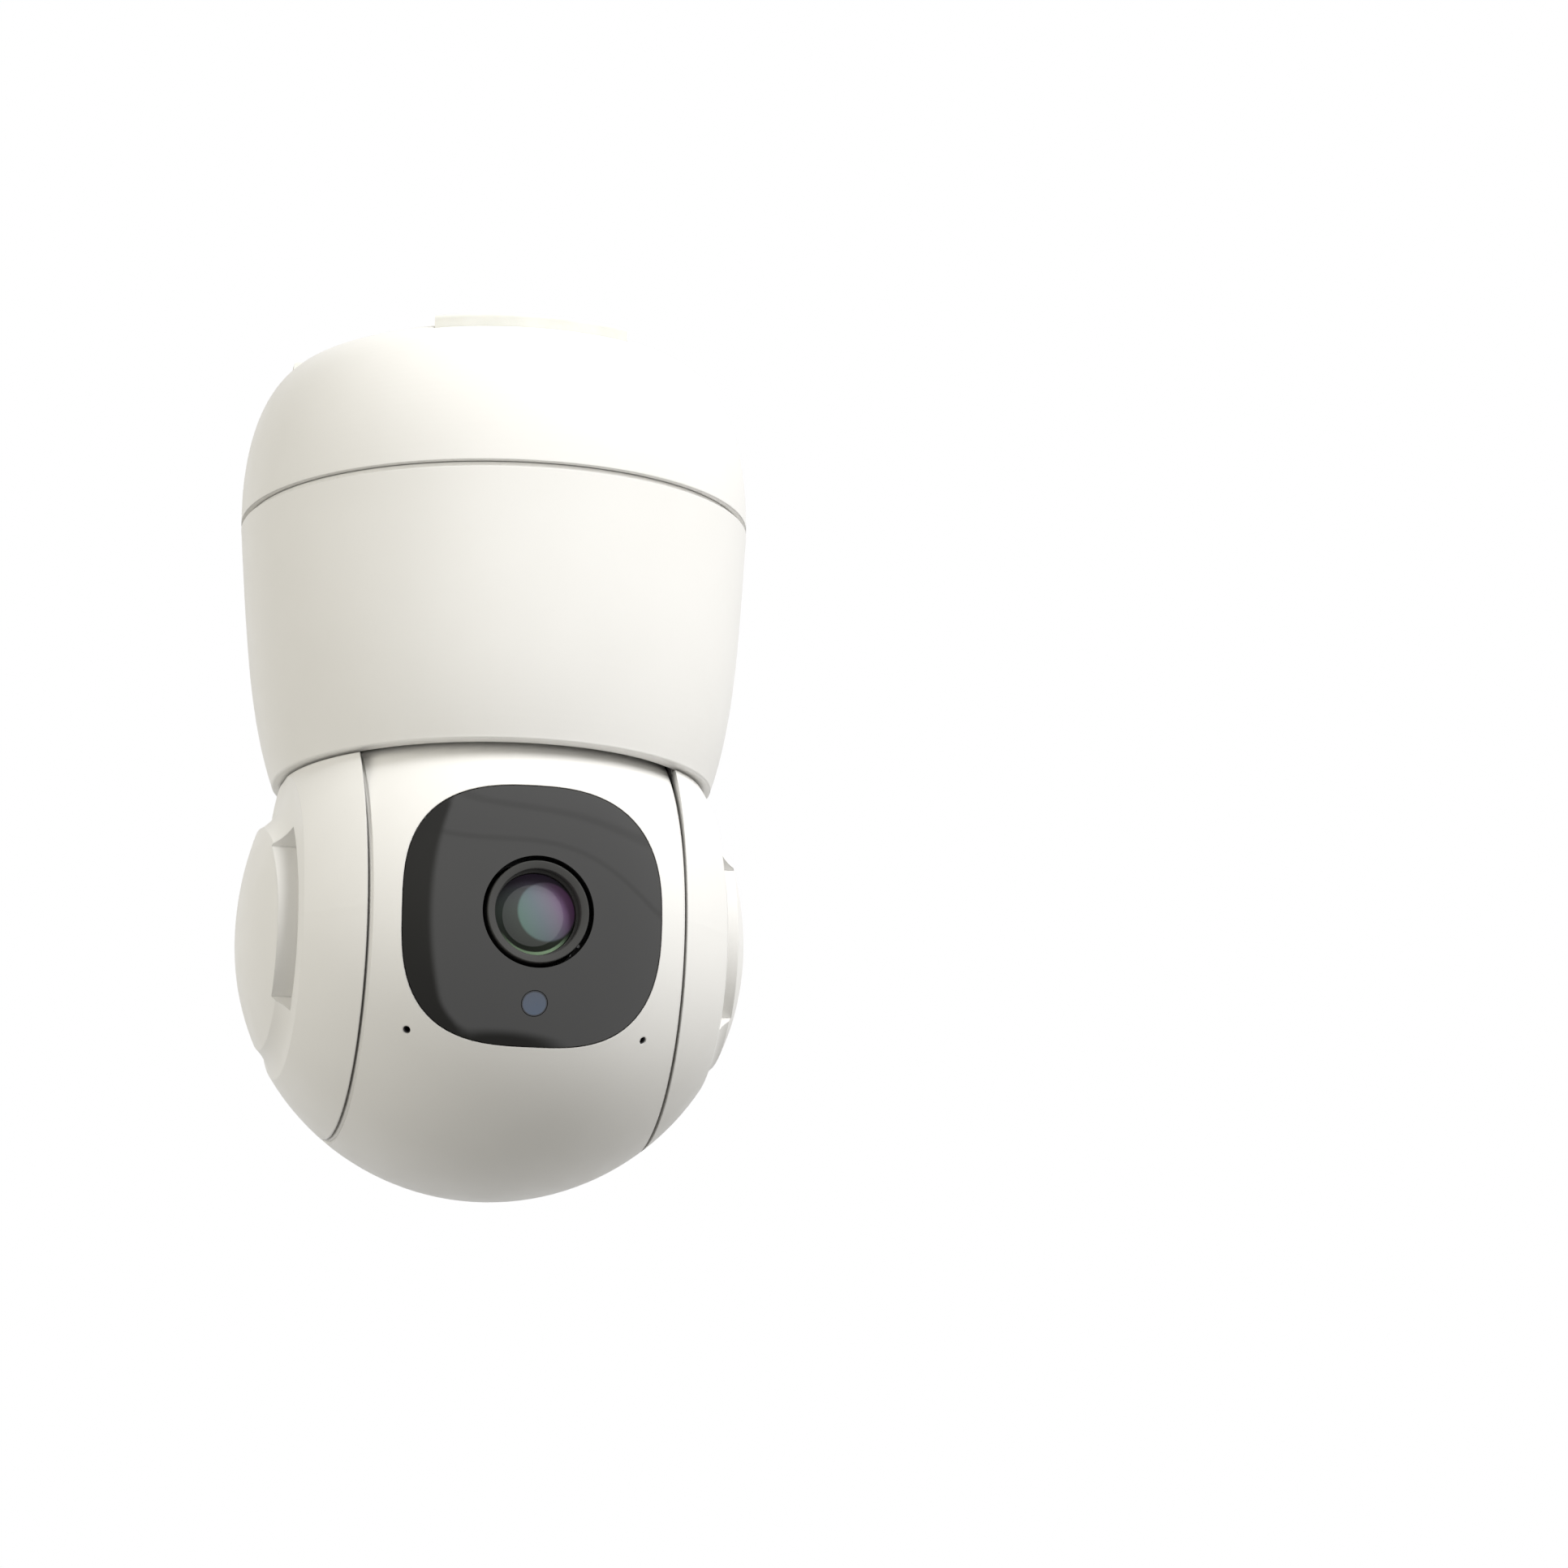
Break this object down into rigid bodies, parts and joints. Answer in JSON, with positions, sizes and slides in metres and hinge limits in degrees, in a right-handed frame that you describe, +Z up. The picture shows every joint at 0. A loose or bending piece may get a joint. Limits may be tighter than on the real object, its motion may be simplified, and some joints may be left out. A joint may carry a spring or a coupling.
{
  "type": "security camera",
  "caption": "Hanging pan-and-tilt indoor security camera: round tapered body, ball head with dark square window and lens, twist-on ceiling plate.",
  "frame": {"origin": "centre of the three screw holes, in the ceiling face of the mounting plate", "axes": "+Z up into the ceiling along the pan axis, -Y the way the lens faces at rest, +X along the tilt axis; everything hangs below the origin"},
  "size_m": [0.08, 0.08, 0.1337],
  "materials": {
    "white_shell": "satin moulded white plastic",
    "white_plate": "matt moulded white plastic",
    "inner_plastic": "plain moulded grey-white plastic",
    "pad_rubber": "pale translucent silicone",
    "gear_plastic": "natural acetal",
    "steel": "zinc plated",
    "black_steel": "black oxide",
    "circuit_board": "green solder mask",
    "black_board": "black solder mask",
    "motor_steel": "drawn steel can",
    "heatsink_metal": "extruded",
    "speaker_black": "black paper cone and frame",
    "antenna_copper": "copper on film",
    "cable_black": "black sleeve",
    "window_smoke": "polished infrared-passing dark grey",
    "lens_black": "black anodised",
    "lens_coated_glass": "anti-reflection coated",
    "filter_glass": "infrared cut coating",
    "sensor_chip": "silicon under cover glass",
    "led_clear": "clear epoxy",
    "light_pipe_blue": "tinted clear plastic"
  },
  "bodies": {
    "plate": {"mounting_plate": "white_plate"},
    "base": {"base_cap": "white_shell", "bayonet_cup": "inner_plastic", "foot_pads": "pad_rubber", "pivot_bush": "gear_plastic", "pivot_washer": "steel", "pan_gear": "gear_plastic", "power_board": "circuit_board", "power_socket": "steel"},
    "yoke": {"body_shell": "white_shell", "chassis": "inner_plastic", "chassis_screws": "steel", "pivot_screw": "black_steel", "pan_motor": "motor_steel", "main_board": "circuit_board", "heatsink": "heatsink_metal", "speaker": "speaker_black", "wifi_antenna": "antenna_copper", "trunnion_left": "gear_plastic", "trunnion_right": "gear_plastic", "tilt_gear": "gear_plastic", "left_cover": "white_shell", "right_cover": "white_shell", "cover_screws": "steel", "head_cable": "cable_black"},
    "pan_drive": {"pan_pinion": "gear_plastic"},
    "head": {"head_front_shell": "white_shell", "head_rear_shell": "white_shell", "tilt_bushes": "gear_plastic", "front_window": "window_smoke", "lens_bezel": "lens_black", "lens_barrel": "lens_black", "lens_glass": "lens_coated_glass", "lens_holder": "lens_black", "sensor_board": "circuit_board", "image_sensor": "sensor_chip", "ir_board": "black_board", "ir_leds": "led_clear", "light_pipe": "light_pipe_blue", "microphones": "speaker_black", "motor_bracket": "inner_plastic", "tilt_motor": "motor_steel"},
    "tilt_drive": {"tilt_pinion": "gear_plastic"},
    "filter_slider": {"ir_cut_filter": "filter_glass"}
  },
  "joints": [
    {"name": "bayonet_twist", "type": "hinge", "parent": "plate", "child": "base", "pos_m": [0, 0, 0], "axis": [0, 0, 1], "range_deg": [-30, 0]},
    {"name": "pan", "type": "hinge", "parent": "base", "child": "yoke", "pos_m": [0, 0, -0.03], "axis": [0, 0, 1], "range_deg": [-175, 175]},
    {"name": "pan_pinion_spin", "type": "hinge", "parent": "yoke", "child": "pan_drive", "pos_m": [0, -0.02085, -0.022], "axis": [0, 0, 1], "range_deg": [-584, 584]},
    {"name": "tilt", "type": "hinge", "parent": "yoke", "child": "head", "pos_m": [0, 0, -0.094], "axis": [1, 0, 0], "range_deg": [-23.5, 86.5]},
    {"name": "tilt_pinion_spin", "type": "hinge", "parent": "head", "child": "tilt_drive", "pos_m": [0.018, 0.00957, -0.08318], "axis": [1, 0, 0], "range_deg": [-48, 174]},
    {"name": "ir_filter_slide", "type": "slide", "parent": "head", "child": "filter_slider", "axis": [1, 0, 0], "range_m": [0, 0.005]}
  ],
  "couplings": [
    {"joint": "pan_pinion_spin", "follows": "pan", "ratio": 3.3333},
    {"joint": "tilt_pinion_spin", "follows": "tilt", "ratio": 2}
  ]
}
